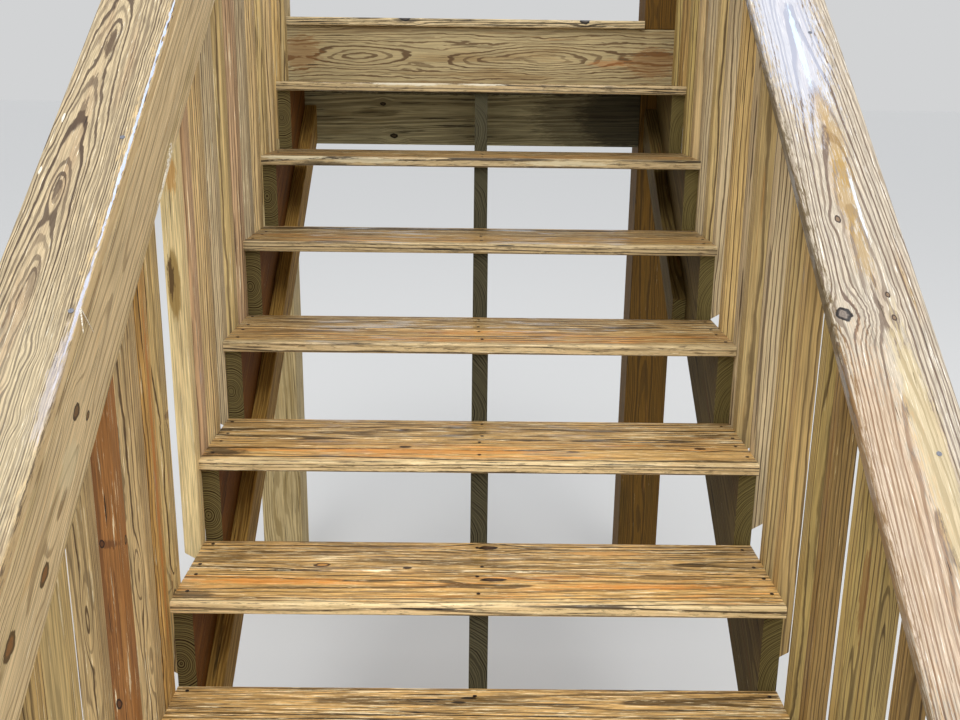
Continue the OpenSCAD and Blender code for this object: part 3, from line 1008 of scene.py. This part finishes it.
@dataclass
class Balusters:
    """Square balusters of one rail, each cut from another tree.

    Attributes:
        node: the CAD node that holds them.
        finish: the wood's look.
        slot: not used.
        tints: their colours from the bottom up.
        seed: where their patterns start.
        flaws: their branches, stains and ovals in the row frame, by baluster.
        plain: those whose rings hardly show.
        ring: width of a year's growth, in metres.
        faint: how far the rings of the plain ones show.
        away: least and greatest distance from a baluster to the heart of its tree, in metres.
        growth: how much slower or faster than usual a tree grew, so that its lines lie closer or wider.
        spread: how far up their trees the balusters start, in metres.
        shade: how much darker or lighter than its tint one may be.
        radius: how far in their edges are rounded, in metres.
    """

    node: str
    finish: Pine
    slot: str
    tints: tuple[Tint, ...]
    seed: int
    flaws: dict[int, tuple[Flaw, ...]] = field(default_factory=dict)
    plain: tuple[int, ...] = ()
    ring: float = 0.0055
    faint: float = 0.15
    away: tuple[float, float] = (0.03, 0.11)
    growth: tuple[float, float] = (0.55, 1.05)
    spread: tuple[float, float] = (2, 40)
    shade: tuple[float, float] = (0.88, 1.12)
    radius: float = 0.002

    def build(self, nodes: dict[str, bpy.types.Object]) -> None:
        """Rounds the balusters, gives each its own place in a tree, and dresses them.

        Args:
            nodes: the frame's objects by name.
        """
        draw = random.Random(self.seed)
        mesh = eased(nodes[self.node], self.radius)
        spot = mesh.verts.layers.float_vector.new("board_place")
        tone = mesh.verts.layers.float_color.new("board_tone")
        turn = Lie.UPRIGHT.turn()
        flaws = []
        for number, island in enumerate(self.islands(mesh)):
            centre = sum((v.co for v in island), Vector()) / len(island)
            # The heart lies off a corner, so both seen faces show long lines rather than broad blotches.
            bearing = math.radians(45 + 90 * draw.randrange(4) + draw.uniform(-22, 22))
            away = draw.uniform(*self.away)
            # Where a flaw is listed, the tree keeps its true size.
            grow = 1.0 if number in self.flaws else draw.uniform(*self.growth)
            heart = Vector((draw.uniform(*self.spread), math.cos(bearing) * away, math.sin(bearing) * away))
            tint = Vector(linear(self.tints[number].value)[:3]) * draw.uniform(*self.shade)
            for vert in island:
                vert[spot] = turn @ (vert.co - centre) * grow + heart
                vert[tone] = (*tint, self.faint if number in self.plain else 1.0)
            flaws += [replace(flaw, spot=tuple(turn @ (Vector(flaw.spot) - centre) + heart))
                      for flaw in self.flaws.get(number, ())]
        piece = place_on(mesh, self.node + "_planed")
        grain = Grain(Lie.UPRIGHT, ring=self.ring, bend=0.005, curl=2.2, seed=self.seed * 1.7,
                      knots=tuple(f for f in flaws if isinstance(f, Knot)),
                      marks=tuple(f for f in flaws if isinstance(f, Mark)),
                      swells=tuple(f for f in flaws if isinstance(f, Swell)))
        clothe(piece, self.finish.dress("wet_pine_" + self.node, grain, Vector(), own=True))
        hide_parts(self.node)
        LOG.info("planed %s", self.node)

    @staticmethod
    def islands(mesh: bmesh.types.BMesh) -> list[list[bmesh.types.BMVert]]:
        """Finds the separate balusters.

        Args:
            mesh: a shape of several loose parts.

        Returns:
            The vertices of each, ordered up the flight.
        """
        left = set(mesh.verts)
        found = []
        while left:
            front, group = [left.pop()], []
            while front:
                vert = front.pop()
                group.append(vert)
                for edge in vert.link_edges:
                    other = edge.other_vert(vert)
                    if other in left:
                        left.remove(other)
                        front.append(other)
            found.append(group)
        return sorted(found, key=lambda group: min(v.co.y for v in group))


@dataclass
class Screws:
    """Coated deck screws, two in each board over each stringer, driven just flush.

    Attributes:
        head: radius of a head, in metres.
        sides: sides of a head's outline.
        sink: how deep a head lies in the wood, in metres.
        stand: how far it stands proud, in metres.
        rows: where the two screws lie in each board, as shares of its depth from the front.
        astray: how far a screw may be off its row and off its stringer's middle, in metres.
    """

    head: float = 0.0042
    sides: int = 12
    sink: float = 0.0012
    stand: float = 0.0006
    rows: dict[str, tuple[float, float]] = field(
        default_factory=lambda: {"front": (0.36, 0.88), "back": (0.18, 0.82)})
    astray: tuple[float, float] = (0.006, 0.007)

    def build(self) -> None:
        """Drives the screws into all treads."""
        draw = random.Random(11)
        off_row, off_middle = self.astray
        mesh = bmesh.new()
        for number in TOP:
            for board, shares in self.rows.items():
                low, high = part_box(f"tread_{number}_{board}")
                for stringer in ("stringer_left", "stringer_center", "stringer_right"):
                    x = middle(stringer).x
                    for share in shares:
                        y = low.y + (high.y - low.y) * share + draw.uniform(-off_row, off_row)
                        spot = Vector((x + draw.uniform(-off_middle, off_middle), y, high.z))
                        self.drive(mesh, spot)
        piece = place_on(mesh, "tread_screws")
        clothe(piece, bare_steel("epoxy_coated_screw_steel", "2c2a2e", "5a4a44"))
        LOG.info("drove the tread screws")

    def drive(self, mesh: bmesh.types.BMesh, spot: Vector) -> None:
        """Adds one screw head with a sunk recess.

        Args:
            mesh: the shape that it is added to.
            spot: the point on the wood.
        """
        tapered, rim = self.head * 0.6, self.head * 0.45
        made = bmesh.ops.create_cone(mesh, cap_ends=True, segments=self.sides, radius1=tapered,
                                     radius2=self.head, depth=self.sink + self.stand)
        centre_z = (self.stand - self.sink) / 2
        bmesh.ops.translate(mesh, vec=spot + Vector((0, 0, centre_z)), verts=made["verts"])
        faces = {f for v in made["verts"] for f in v.link_faces}
        top = max(faces, key=lambda f: f.calc_center_median().z)
        bmesh.ops.inset_region(mesh, faces=[top], thickness=rim, depth=-self.stand)


@dataclass
class CapNails:
    """Common nails in a cap rail, driven flush and gone dark.

    Attributes:
        rail: the cap rail's node.
        lie: how that rail runs.
        spots: where they are, in the row frame, in metres.
        head: radius of a head, in metres.
        sides: sides of a head's outline.
        thick: its height, in metres.
        stand: how far it stands proud, in metres.
    """

    rail: str
    lie: Lie
    spots: tuple[Spot, ...]
    head: float = 0.0042
    sides: int = 16
    thick: float = 0.004
    stand: float = 0.0005

    def build(self) -> None:
        """Drives the nails square to the rail."""
        mesh = bmesh.new()
        square = self.lie.turn().inverted().to_4x4()
        driven = Matrix.Translation((0.0, 0.0, self.stand - self.thick / 2))
        for spot in self.spots:
            seat = Matrix.Translation(Vector(spot)) @ square @ driven
            bmesh.ops.create_cone(mesh, cap_ends=True, segments=self.sides, radius1=self.head * 0.8,
                                  radius2=self.head, depth=self.thick, matrix=seat)
        piece = place_on(mesh, self.rail + "_nails")
        clothe(piece, bare_steel("weathered_nail_steel", "5c5e68", "8c8e96"))
        LOG.info("nailed %s", self.rail)


@dataclass
class Splinters:
    """Torn wood on the left rail: slivers beside a nail, and crumbs along the lower board's rough edge.

    Attributes:
        root: where the slivers hang on, in the row frame, in metres.
        tips: where each sliver ends.
        thick: half of their thickness at the root, in metres.
        sides: sides of a sliver's outline.
        torn: upper and lower end of the torn edge, in the row frame, in metres.
        wedge: how high the crumbs reach at its upper end, and how far they hang below it, in metres.
        crumbs: how many crumbs hang on that edge.
        crumb: half of the largest crumb's width, in metres.
    """

    root: Spot = (-0.5535, -0.9362, 1.4660)
    tips: tuple[Spot, ...] = ((-0.545, -0.917, 1.427), (-0.547, -0.950, 1.434))
    thick: float = 0.0018
    sides: int = 6
    torn: tuple[Spot, Spot] = ((RAIL_FACE_X, -0.4440, 1.6490), (RAIL_FACE_X, -0.5187, 1.5885))
    wedge: tuple[float, float] = (0.022, 0.001)
    crumbs: int = 120
    crumb: float = 0.0032

    def build(self) -> None:
        """Makes the slivers and the crumbs and gives both the same pale fibres."""
        fibres = TORN_WOOD.dress("torn_pine_fibres", Grain(Lie.LEFT_RAIL, ring=0.002), Vector(self.root))
        for piece in (self.split(), self.tear()):
            clothe(piece, fibres)
            LOG.info("tore %s", piece.name)

    def split(self) -> bpy.types.Object:
        """Makes each sliver a thin spike.

        Returns:
            The piece.
        """
        mesh = bmesh.new()
        for tip in self.tips:
            run = Vector(tip) - Vector(self.root)
            turn = run.to_track_quat("Z", "Y").to_matrix().to_4x4()
            seat = Matrix.Translation(Vector(self.root) + run / 2) @ turn
            bmesh.ops.create_cone(mesh, cap_ends=True, segments=self.sides, radius1=self.thick,
                                  radius2=self.thick / 4, depth=run.length, matrix=seat)
        return place_on(mesh, "cap_rail_left_splinters")

    def tear(self) -> bpy.types.Object:
        """Spreads the crumbs over a wedge that is widest at the upper end of the torn edge.

        Returns:
            The piece.
        """
        draw = random.Random(23)
        mesh = bmesh.new()
        upper, lower = (Vector(end) for end in self.torn)
        reach, sag = self.wedge
        for _ in range(self.crumbs):
            # More crumbs near the upper end than near the lower one.
            share = draw.random() ** 1.5
            height = draw.uniform(-sag, reach) * (1 - share) ** 2
            spot = upper.lerp(lower, share) + Vector((0, 0, height))
            # Each is a flattened lump, turned on the face that it hangs on.
            size = Matrix.Diagonal((0.5, draw.uniform(0.6, 1.6), draw.uniform(0.5, 1.1), 1.0))
            seat = Matrix.Translation(spot) @ Matrix.Rotation(draw.uniform(0, math.pi), 4, "X") @ size
            radius = draw.uniform(0.4, 1.0) * self.crumb
            bmesh.ops.create_icosphere(mesh, subdivisions=1, radius=radius, matrix=seat)
        return place_on(mesh, "sub_rail_left_crumbs")


# Branches and scars of the treads that the photograph shows from near, by board.
TREAD_KNOTS: dict[str, tuple[Knot, ...]] = {
    "tread_4_back": (
        Knot((-0.315, -0.366, TOP[4]), 0.009, 2.0, "c08a48", "3a2512"),
        Knot((0.038, -0.277, TOP[4]), 0.010, 2.2, "4a3018", "20150b"),
        Knot((-0.134, -0.376, TOP[4]), 0.006, 1.6, "3c2814", "20150b")),
    "tread_4_front": (
        Knot((0.047, -0.426, TOP[4]), 0.008, 3.5, "4a3018", "20150b"),),
    "tread_5_back": (
        Knot((-0.1605, -0.058, TOP[5]), 0.006, 2.0, "5a3818", "2a1b0c"),),
    "tread_5_front": (
        Knot((-0.1505, -0.172, TOP[5]), 0.006, 2.4, "4a3018", "20150b"),
        Knot((0.226, -0.194, TOP[5]), 0.005, 3.0, "6b4520", "2e1d0c"),
        Knot((0.5165, -0.1665, TOP[5]), 0.007, 2.0, "5a3818", "2a1b0c")),
}
TREAD_MARKS: dict[str, tuple[Mark, ...]] = {
    "tread_3_back": (
        Mark((-0.02, -0.566, TOP[3]), (0.016, 0.005), "1f160c", 0.95, ragged=0.6),
        Mark((0.0, -0.552, TOP[3]), (0.018, 0.005), "1f160c", 0.95, ragged=0.6)),
    "tread_3_front": (
        Mark((-0.30, -0.71, TOP[3]), (0.14, 0.012), "4f3c22", 0.6),),
    "tread_4_back": (
        Mark((0.30, -0.30, TOP[4]), (0.10, 0.010), "cf9a58", 0.6),
        Mark((-0.22, -0.275, TOP[4]), (0.16, 0.006), "3f2d18", 0.6)),
    "tread_4_front": (
        Mark((-0.42, -0.44, TOP[4]), (0.18, 0.014), "cc8438", 0.6, ragged=2.0),
        Mark((-0.555, -0.497, TOP[4]), (0.05, 0.018), "4a3c28", 0.7),
        Mark((0.36, -0.45, TOP[4]), (0.20, 0.012), "cc8438", 0.55, ragged=2.0),
        Mark((0.42, -0.41, TOP[4]), (0.12, 0.010), "4a3820", 0.6)),
    "tread_5_front": (
        Mark((-0.545, -0.215, TOP[5]), (0.05, 0.022), "3a2a18", 0.85),
        Mark((-0.10, -0.20, TOP[5]), (0.30, 0.016), "d08a3c", 0.6)),
    # These lie on the front edge, some way under its top.
    "tread_8_front": (
        Mark((-0.50, 0.533, TOP[8] - 0.002), (0.09, 0.010), "f0e2ba", 0.8),
        Mark((-0.30, 0.533, TOP[8] - 0.010), (0.12, 0.008), "f0e2ba", 0.7),
        Mark((-0.42, 0.533, TOP[8] - 0.020), (0.09, 0.006), "3e3018", 0.7),
        Mark((0.25, 0.533, TOP[8] - 0.012), (0.14, 0.007), "f0e2ba", 0.7)),
    "tread_9_front": (
        Mark((-0.20, 0.799, TOP[9] - 0.002), (0.14, 0.006), "f6ecd0", 0.8),
        Mark((0.02, 0.799, TOP[9] - 0.002), (0.08, 0.005), "f6ecd0", 0.8)),
}
# Painted light and shade on the treads, as factors of their colour, from the lowest up: the lower ones lie in
# the open and are painted lighter, the upper ones lie in the shade and are painted darker.
TREAD_PAINTED_LIGHT = (1.36, 1.36, 1.38, 1.32, 1.18, 0.98, 0.84, 0.78, 0.86)

# The deck boards: only the first one's front edge faces the eye.
DECK_GRAINS: dict[str, Grain] = {
    "deck_board_front": Grain(
        Lie.ACROSS, ring=0.008, bend=0.005, seed=31.0,
        knots=(
            Knot((-0.225, 1.066, 1.958), 0.008, 2.2, "4a4038", "1c1814"),
            Knot((0.344, 1.066, 1.955), 0.008, 2.0, "4a4038", "1c1814")),
        marks=(
            Mark((-0.22, 1.066, 1.955), (0.05, 0.008), "2c241c", 0.7),)),
    "deck_board_middle": Grain(Lie.ACROSS, seed=37.0),
    "deck_board_back": Grain(Lie.ACROSS, seed=43.0),
}

# The nails of the two caps; the left one's have stained the wood.
LEFT_NAILS = ((-0.565, -0.941, 1.464), (-0.571, -0.650, 1.686))
RIGHT_NAILS = ((0.697, -0.105, 1.8835), (0.697, -0.9165, 1.254))

# The left cap: arches and ovals up its outer half, and a thin streak of water along its inner edge, painted
# as a bluish-white highlight.
LEFT_CAP_GRAIN = Grain(
    Lie.LEFT_RAIL, heart=(0.022, -0.046), tilt=-0.036, ring=0.0040, bend=0.007, curl=2.3, seed=7.0,
    swells=(
        Swell(LEFT_TOP.at(-0.6473, -0.7429), (0.075, 0.018), 0.007),
        Swell(LEFT_TOP.at(-0.6420, -0.4344), (0.120, 0.022), 0.006),
        Swell(LEFT_TOP.at(-0.6327, -0.9104), (0.120, 0.020), 0.007),
        Swell(LEFT_TOP.at(-0.600, -1.000), (0.035, 0.022), 0.004),
        Swell(LEFT_TOP.at(-0.625, -1.060), (0.035, 0.022), -0.004),
        Swell(LEFT_TOP.at(-0.585, -1.090), (0.030, 0.022), 0.004)),
    marks=(
        # Painted light: the inner side is painted paler than the top, against the shade that it lies in.
        Mark(LEFT_TOP.at(RAIL_FACE_X, -0.70, drop=0.024), (1.10, 0.022), "dcbc86", 0.7),
        # The water, painted as the sky's reflection: bluish-white highlights along the rounded inner edge,
        # and a greyer one near the lower end.
        Mark(LEFT_TOP.at(-0.5558, -0.25), (0.36, 0.0024), "c4d2f0", 0.85, wet=1.0, ragged=2.2),
        Mark(LEFT_TOP.at(-0.5558, -0.62), (0.36, 0.0024), "c4d2f0", 0.85, wet=1.0, ragged=2.2),
        Mark(LEFT_TOP.at(-0.5558, -0.93), (0.16, 0.0028), "c0c4d8", 0.75, wet=1.0, ragged=2.2),
        Mark(LEFT_TOP.at(-0.5600, -1.04), (0.10, 0.010), "a8a2ac", 0.5, wet=0.8),
        # The lower end is bleached.
        Mark(LEFT_TOP.at(-0.62, -1.10), (0.26, 0.08), "f0e0ba", 0.15),
        # Dark hearts of the arches.
        Mark(LEFT_TOP.at(-0.644, -0.455), (0.05, 0.008), "57432f", 0.75),
        Mark(LEFT_TOP.at(-0.650, -0.60), (0.04, 0.006), "57432f", 0.7),
        Mark(LEFT_TOP.at(-0.647, -0.743), (0.028, 0.007), "544230", 0.8),
        Mark(LEFT_TOP.at(-0.634, -0.905), (0.05, 0.006), "6a5640", 0.6),
        # Chips on the outer edge.
        Mark(LEFT_TOP.at(-0.678, -0.614), (0.012, 0.0028), "f4ecd8", 0.8),
        Mark(LEFT_TOP.at(-0.6835, -0.713), (0.010, 0.0024), "f4ecd8", 0.8),
        *(Mark(spot, (0.018, 0.005), "5a4a36", 0.5) for spot in LEFT_NAILS)))

# The right cap: four knots, a golden middle that flakes, and a film of water over its upper part with a
# painted reflection of the sky on it.
RIGHT_CAP_GRAIN = Grain(
    Lie.RIGHT_RAIL, heart=(0.0, -0.05), tilt=-0.032, ring=0.0055, bend=0.006, curl=1.8, seed=12.0,
    knots=(
        Knot(RIGHT_TOP.at(0.610, -0.705), 0.014, 1.1, "8a7c70", "1e1612"),
        Knot(RIGHT_TOP.at(0.645, -0.533), 0.006, 1.6, "8c7256", "3a2a20"),
        Knot(RIGHT_TOP.at(0.693, -0.671), 0.0045, 1.5, "8c7256", "3a2a20"),
        Knot(RIGHT_TOP.at(0.6925, -0.710), 0.0045, 1.5, "8c7256", "3a2a20")),
    marks=(
        # Painted shade: the inner side is painted darker than the top, for the shade that it lies in.
        Mark(RIGHT_TOP.at(0.5875, -0.60, drop=0.023), (1.20, 0.022), "5c4a24", 0.85),
        # The water, with a painted reflection of the sky on it: a pale bluish sheet and a bright streak.
        Mark(RIGHT_TOP.at(0.655, -0.08), (0.36, 0.07), "cbd6ee", 0.5, wet=1.0),
        Mark(RIGHT_TOP.at(0.666, -0.14), (0.15, 0.007), "cfe2f2", 0.9, wet=1.0, ragged=0.8),
        # The golden middle.
        Mark(RIGHT_TOP.at(0.674, -0.30), (0.06, 0.013), "b08c44", 0.6, wet=0.8, ragged=2.5),
        Mark(RIGHT_TOP.at(0.682, -0.368), (0.08, 0.017), "a8843e", 0.6, wet=0.8, ragged=2.5),
        Mark(RIGHT_TOP.at(0.678, -0.430), (0.05, 0.015), "b08c46", 0.6, wet=0.8, ragged=2.5),
        Mark(RIGHT_TOP.at(0.670, -0.495), (0.08, 0.016), "a8843e", 0.6, wet=0.8, ragged=2.5),
        Mark(RIGHT_TOP.at(0.670, -0.591), (0.07, 0.013), "a8843e", 0.55, wet=0.8, ragged=2.5),
        # The lower part: a pale band on the right, and a warm tone over all of it.
        Mark(RIGHT_TOP.at(0.690, -0.92), (0.30, 0.026), "d4c08e", 0.5, ragged=0.8),
        Mark(RIGHT_TOP.at(0.62, -1.00), (0.36, 0.06), "d89e62", 0.2),
        # A painted glint beside the gold.
        Mark(RIGHT_TOP.at(0.688, -0.50), (0.10, 0.0035), "dfe6f0", 0.8, wet=1.0)))

# The header: two knots, darker towards its right end, and a painted shadow along its top, under the top
# tread.
HEADER_GRAINS: dict[str, Grain] = {
    "header_board": Grain(
        Lie.ACROSS, heart=(0.09, 0.02), ring=0.0035, bend=0.003, seed=61.0,
        knots=(
            Knot((-0.2648, RIM_FACE_Y, 1.594), 0.008, 1.6, "4a3c26", "1a140c"),
            Knot((-0.2994, RIM_FACE_Y, 1.695), 0.006, 1.6, "4a3c26", "1a140c")),
        marks=(
            # Darker towards the right end.
            Mark((0.42, RIM_FACE_Y, 1.66), (0.26, 0.13), "2c281c", 0.5, ragged=0.5),
            Mark((0.54, RIM_FACE_Y, 1.66), (0.24, 0.13), "221e15", 0.7, ragged=0.5),
            # Painted shadow along the top, under the top tread.
            Mark((0.0, RIM_FACE_Y, 1.74), (0.8, 0.016), "241f15", 0.7))),
    "joist_left": Grain(Lie.ALONG, seed=62.0),
    "joist_center": Grain(Lie.ALONG, seed=63.0),
    "joist_right": Grain(Lie.ALONG, seed=64.0),
    "back_joist": Grain(Lie.ACROSS, seed=65.0),
}

# The rim: three sets of ovals, resin at both ends and in one streak, and a thin dark scratch at the left.
RIM_GRAIN = Grain(
    Lie.ACROSS, heart=(0.06, 0.0), tilt=0.005, ring=0.0068, bend=0.010, curl=3.2, seed=71.0,
    swells=(
        Swell((-0.37, RIM_FACE_Y, 1.845), (0.19, 0.045), 0.020),
        Swell((0.02, RIM_FACE_Y, 1.830), (0.14, 0.040), 0.014),
        Swell((0.22, RIM_FACE_Y, 1.842), (0.28, 0.060), 0.030)),
    marks=(
        Mark((-0.56, RIM_FACE_Y, 1.85), (0.07, 0.06), "8a5a24", 0.5),
        Mark((0.57, RIM_FACE_Y, 1.83), (0.10, 0.05), "8a5a24", 0.55),
        Mark((0.43, RIM_FACE_Y, 1.83), (0.07, 0.012), "b87434", 0.45),
        Mark((-0.524, RIM_FACE_Y, 1.815), (0.024, 0.002), "2a1c0e", 0.9, ragged=0.4)))

# The lower board of the left rail: four knots, an oval, pale patches, and bare wood at the torn edge.
SUB_RAIL_GRAIN = Grain(
    Lie.LEFT_RAIL, heart=(0.09, 0.02), ring=0.0045, bend=0.005, curl=0.8, seed=91.0,
    knots=(
        Knot((RAIL_FACE_X, -0.987, 1.330), 0.010, 1.5, "7a5a34", "4a3820"),
        Knot((RAIL_FACE_X, -0.948, 1.311), 0.0055, 1.6, "7a5a34", "4a3820"),
        Knot((RAIL_FACE_X, -1.140, 1.158), 0.010, 1.9, "8a5c2e", "5a4424"),
        Knot((RAIL_FACE_X, -1.253, 1.121), 0.012, 1.8, "8a5c2e", "5a4424")),
    marks=(
        Mark((RAIL_FACE_X, -1.03, 1.265), (0.05, 0.026), "d2c49c", 0.45),
        Mark((RAIL_FACE_X, -0.4500, 1.645), (0.035, 0.016), "d8c494", 0.8, ragged=2.0),
        Mark((RAIL_FACE_X, -0.5050, 1.597), (0.060, 0.007), "fbf0d2", 0.95, ragged=2.0),
        Mark((RAIL_FACE_X, -0.93, 1.36), (0.06, 0.004), "8a7450", 0.5)),
    swells=(
        Swell((RAIL_FACE_X, -1.05, 1.23), (0.16, 0.03), 0.008),))

# The balusters' colours from the bottom up, and what marks single ones, counted from 0.
LEFT_TINTS = tuple(Tint[name] for name in (
    "HONEY STRAW TAN RUSSET TAN AMBER STRAW PALE ROSE TAN MOSS STRAW ROSE MOSS TAN STRAW TAN HONEY "
    "STRAW").split())
LEFT_FLAWS: dict[int, tuple[Flaw, ...]] = {
    # Two ovals, one above the other.
    2: (Swell((-0.606, -0.894, 0.95), (0.10, 0.012), 0.009),
        Swell((-0.612, -0.894, 0.74), (0.10, 0.012), -0.009)),
    # The russet one: a knot that shows on two faces, another below it, a stain and long streaks.
    3: (Knot((-0.620, -0.767, 1.022), 0.005, 1.6, "6b3f1c", "33200f"),
        Knot((-0.616, -0.767, 0.714), 0.006, 1.8, "6b3f1c", "33200f"),
        Knot((-0.5905, -0.738, 1.016), 0.006, 1.5, "8a6a40", "3a2412"),
        Mark((-0.606, -0.767, 1.022), (0.009, 0.018), "5a3318", 0.6),
        Mark((-0.6255, -0.767, 1.00), (0.40, 0.007), "6a4220", 0.6, ragged=0.9),
        Mark((-0.604, -0.767, 0.88), (0.10, 0.003), "5e3417", 0.5, ragged=0.9),
        Mark((-0.616, -0.767, 0.86), (0.12, 0.003), "5e3417", 0.45, ragged=0.9),
        Mark((-0.598, -0.767, 0.82), (0.14, 0.004), "b07c42", 0.5, ragged=0.9)),
    # Two ovals again, a little lower.
    4: (Swell((-0.606, -0.642, 0.90), (0.10, 0.012), 0.009),
        Swell((-0.600, -0.642, 0.72), (0.10, 0.012), -0.008)),
    # A long orange streak on the inner face.
    5: (Mark((-0.5905, -0.556, 1.05), (0.40, 0.008), "c4742c", 0.6, ragged=0.8),),
    # The pale one: an oval stain with a dark heart, and a warm patch under the rail.
    7: (Mark((-0.611, -0.287, 1.369), (0.085, 0.015), "8e7034", 0.85, ragged=0.3),
        Mark((-0.616, -0.287, 1.384), (0.048, 0.007), "44290c", 0.8, ragged=1.2),
        Mark((-0.604, -0.287, 1.60), (0.05, 0.014), "c08a40", 0.7)),
}
RIGHT_TINTS = tuple(Tint[name] for name in (
    "OLIVE BROWN OLIVE OLIVE BROWN OLIVE HONEY STRAW MOSS STRAW MOSS HONEY MOSS STRAW MOSS TAN OLIVE "
    "BROWN OLIVE").split())
RIGHT_FLAWS: dict[int, tuple[Flaw, ...]] = {
    # Tall arches up most of the face.
    2: (Swell((0.644, -0.932, 0.86), (0.30, 0.015), 0.026),),
    # A russet streak over an oval; the next one has its streak on the inner face.
    3: (Mark((0.646, -0.833, 0.98), (0.09, 0.008), "8a5a2c", 0.6),
        Swell((0.636, -0.833, 0.80), (0.20, 0.010), 0.010)),
    4: (Mark((0.6255, -0.675, 1.14), (0.10, 0.006), "8a6230", 0.5),),
}


def tread_grains() -> dict[str, Grain]:
    """Cuts every tread board from its own tree.

    Returns:
        How each was cut, by node.
    """
    draw = random.Random(5)
    grains = {}
    for number, fade in enumerate(TREAD_PAINTED_LIGHT, 1):
        for board in ("front", "back"):
            name = f"tread_{number}_{board}"
            grains[name] = Grain(
                Lie.ACROSS, heart=(draw.uniform(-0.05, 0.05), -draw.uniform(0.05, 0.11)),
                tilt=draw.uniform(-0.012, 0.012), ring=0.008, bend=0.005, seed=draw.uniform(0, 90), fade=fade,
                knots=TREAD_KNOTS.get(name, ()), marks=TREAD_MARKS.get(name, ()))
    return grains


def planks() -> tuple[Planks, ...]:
    """Sorts the boards that keep the CAD shape, which are treads, deck boards, stringers and caps.

    Returns:
        The groups in building order.
    """
    treads = tread_grains()
    fronts = {name: grain for name, grain in treads.items() if name.endswith("front")}
    backs = {name: grain for name, grain in treads.items() if name.endswith("back")}
    left = Grain(Lie.FLIGHT, heart=(0.01, 0.06), ring=0.0038, bend=0.006, seed=3.0)
    centre = Grain(Lie.FLIGHT, heart=(0.07, 0.02), seed=14.0)
    right = Grain(Lie.FLIGHT, heart=(-0.06, 0.02), ring=0.0036, bend=0.006, seed=25.0)
    return (
        Planks(DECKING_FRONT, fronts, worn_front=tuple(fronts)),
        Planks(DECKING, backs),
        Planks(DECKING, DECK_GRAINS, worn_front=("deck_board_front",)),
        Planks(STRINGER_LEFT, {"stringer_left": left}),
        Planks(STRINGER_CENTRE, {"stringer_center": centre}),
        Planks(FRAMING, {"stringer_right": right}),
        Planks(LEFT_CAP, {"cap_rail_left": LEFT_CAP_GRAIN}),
        Planks(RIGHT_CAP, {"cap_rail_right": RIGHT_CAP_GRAIN}))


def timbers() -> tuple[EasedTimbers, ...]:
    """Sorts the timbers with rounded edges, which are stiffeners, deck framing, posts and lower rails.

    Returns:
        The groups in building order.
    """
    post_edge = 0.004
    posts = (
        (POST_LEFT_PAINTED_LIGHT, "post_left", Grain(Lie.UPRIGHT, heart=(0.03, 0.02), seed=81.0)),
        (POST_RIGHT_PAINTED_SHADE, "post_right", Grain(Lie.UPRIGHT, heart=(-0.03, 0.03), seed=82.0)),
        (POSTS, "newel_left", Grain(Lie.UPRIGHT, heart=(0.05, 0.05), seed=83.0)),
        (POSTS, "newel_right", Grain(Lie.UPRIGHT, heart=(-0.05, 0.05), seed=84.0)))
    left_strip = Grain(Lie.FLIGHT, heart=(0.05, -0.06), seed=51.0)
    right_strip = Grain(Lie.FLIGHT, heart=(-0.05, -0.06), seed=52.0)
    right_sub_rail = Grain(Lie.RIGHT_RAIL, heart=(-0.09, 0.02), seed=92.0)
    return (
        EasedTimbers(STIFFENER_LEFT, "stringer_wood", {"stiffener_left": left_strip}),
        EasedTimbers(FRAMING, "stringer_wood", {"stiffener_right": right_strip}),
        EasedTimbers(HEADER, "deck_wood", HEADER_GRAINS),
        EasedTimbers(RIM, "deck_wood", {"rim_board": RIM_GRAIN}),
        *(EasedTimbers(finish, "post_wood", {name: grain}, post_edge) for finish, name, grain in posts),
        EasedTimbers(SUB_RAIL, "rail_wood",
                     {"sub_rail_left": SUB_RAIL_GRAIN, "sub_rail_right": right_sub_rail}))


def balusters() -> tuple[Balusters, Balusters]:
    """Names the balusters of both rails.

    Returns:
        The left ones and the right ones.
    """
    return (
        Balusters("balusters_left", BALUSTER_LEFT, "left_baluster_wood", LEFT_TINTS, seed=4,
                  flaws=LEFT_FLAWS, plain=(1, 3, 7), ring=0.0044),
        Balusters("balusters_right", BALUSTER_RIGHT, "right_baluster_wood", RIGHT_TINTS, seed=9,
                  flaws=RIGHT_FLAWS, ring=0.0070))


def main() -> None:
    """Builds the scene in order: camera and light, the boards, and then what is driven in or torn out."""
    logging.basicConfig(level=logging.INFO, format="%(name)s: %(message)s")
    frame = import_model()
    nodes = frame["nodes"]
    Camera().build()
    Stage().build()
    for group in planks():
        group.build(nodes)
    CapNails("cap_rail_left", Lie.LEFT_RAIL, LEFT_NAILS).build()
    CapNails("cap_rail_right", Lie.RIGHT_RAIL, RIGHT_NAILS).build()
    for group in (*timbers(), *balusters()):
        group.build(nodes)
    Splinters().build()
    Screws().build()


if __name__ == "__main__":
    main()
